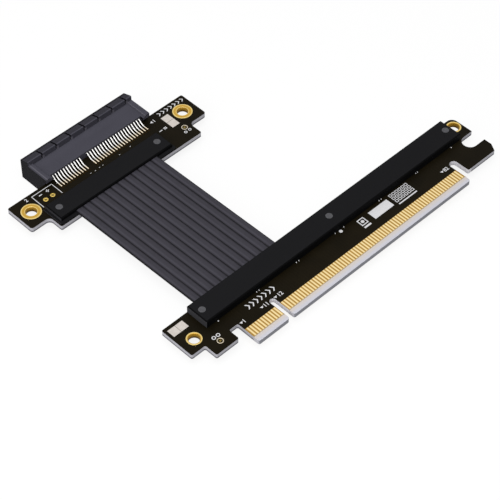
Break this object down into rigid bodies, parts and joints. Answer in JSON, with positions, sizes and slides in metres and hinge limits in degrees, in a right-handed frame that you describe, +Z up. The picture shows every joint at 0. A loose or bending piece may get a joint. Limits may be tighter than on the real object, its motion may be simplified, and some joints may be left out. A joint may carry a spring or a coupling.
{
  "type": "expansion slot extension cable",
  "caption": "Flat ribbon slot extension: a long card-edge board and a short board with a keyed straddle-mount card socket, lying in one plane.",
  "frame": {"origin": "centre of the box on the surface that the lower edge cover and the socket housing lie on", "axes": "+X along the card edge from the first finger to the last, +Y from the card edge towards the socket mouth, +Z up from the boards, with the ribbon above them"},
  "size_m": [0.1172, 0.0932, 0.0082],
  "materials": {
    "laminate": "semi-gloss solder mask over glass laminate",
    "gold": "hard gold plate",
    "tin": "dull tinned copper",
    "cover": "fine spark texture",
    "jacket": "satin",
    "housing": "moulded, satin",
    "contact": "bright plated strip"
  },
  "bodies": {
    "root": {"edge_board": "laminate", "edge_fingers_top": "gold", "edge_fingers_bottom": "gold", "edge_left_hole_plating": "gold", "edge_right_hole_plating": "gold", "edge_bridge_pads": "tin", "edge_solder_lands": "gold", "edge_upper_cover": "cover", "edge_lower_cover": "cover", "ribbon_jacket": "jacket", "ribbon_tails_edge": "tin", "ribbon_tails_socket": "tin", "socket_board": "laminate", "socket_lands_top": "gold", "socket_lands_bottom": "gold", "socket_hole_platings": "gold", "socket_bridge_pads": "tin", "socket_solder_lands": "gold", "socket_upper_cover": "cover", "socket_lower_cover": "cover", "socket_upper_shell": "housing", "socket_core": "housing", "socket_lower_shell": "housing", "socket_contacts_top": "contact", "socket_contacts_bottom": "contact"}
  },
  "joints": []
}
